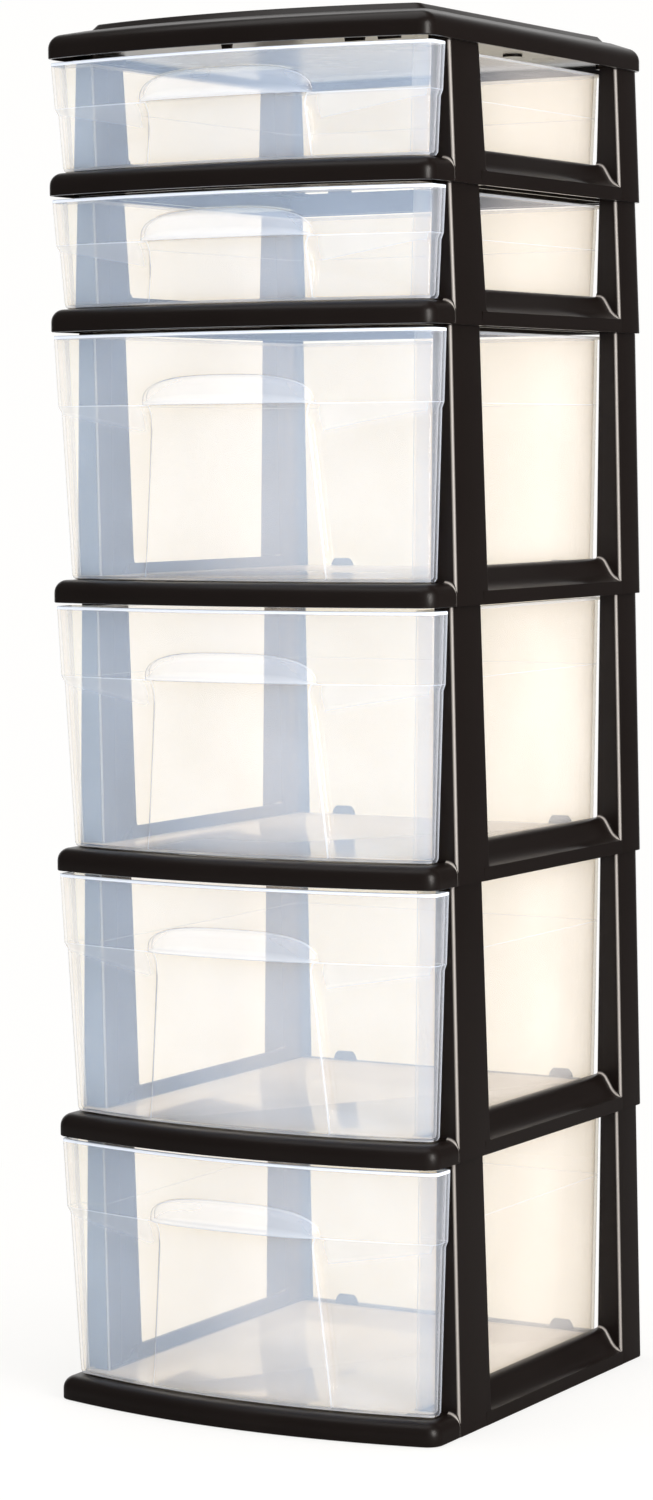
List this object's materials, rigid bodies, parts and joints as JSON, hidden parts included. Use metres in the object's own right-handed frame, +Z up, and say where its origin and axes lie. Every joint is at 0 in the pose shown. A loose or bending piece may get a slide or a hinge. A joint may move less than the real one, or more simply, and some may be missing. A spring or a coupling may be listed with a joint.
{
  "type": "plastic drawer tower",
  "caption": "Tall narrow storage tower of stacked dark plastic frames with clear pull-out drawers, shallow ones above deep ones, under a flat lid.",
  "frame": {"origin": "middle of the footprint, on the floor under the bottom ring", "axes": "+Z up along the tower, +X to the right of a person facing the drawers, -Y is the way the drawers pull out"},
  "size_m": [0.308, 0.348, 0.975],
  "materials": {
    "black_plastic": "satin black moulded plastic",
    "clear_plastic": "clear natural plastic with a faint milky haze"
  },
  "bodies": {
    "tower": {"lid": "black_plastic", "frame_small_1": "black_plastic", "frame_small_2": "black_plastic", "frame_large_1": "black_plastic", "frame_large_2": "black_plastic", "frame_large_3": "black_plastic", "frame_large_4": "black_plastic"},
    "drawer_small_1_body": {"drawer_small_1": "clear_plastic"},
    "drawer_small_2_body": {"drawer_small_2": "clear_plastic"},
    "drawer_large_1_body": {"drawer_large_1": "clear_plastic"},
    "drawer_large_2_body": {"drawer_large_2": "clear_plastic"},
    "drawer_large_3_body": {"drawer_large_3": "clear_plastic"},
    "drawer_large_4_body": {"drawer_large_4": "clear_plastic"}
  },
  "joints": [
    {"name": "slide_small_1", "type": "slide", "parent": "tower", "child": "drawer_small_1_body", "axis": [0, -1, 0], "range_m": [0, 0.22]},
    {"name": "slide_small_2", "type": "slide", "parent": "tower", "child": "drawer_small_2_body", "axis": [0, -1, 0], "range_m": [0, 0.22]},
    {"name": "slide_large_1", "type": "slide", "parent": "tower", "child": "drawer_large_1_body", "axis": [0, -1, 0], "range_m": [0, 0.22]},
    {"name": "slide_large_2", "type": "slide", "parent": "tower", "child": "drawer_large_2_body", "axis": [0, -1, 0], "range_m": [0, 0.22]},
    {"name": "slide_large_3", "type": "slide", "parent": "tower", "child": "drawer_large_3_body", "axis": [0, -1, 0], "range_m": [0, 0.22]},
    {"name": "slide_large_4", "type": "slide", "parent": "tower", "child": "drawer_large_4_body", "axis": [0, -1, 0], "range_m": [0, 0.22]}
  ]
}
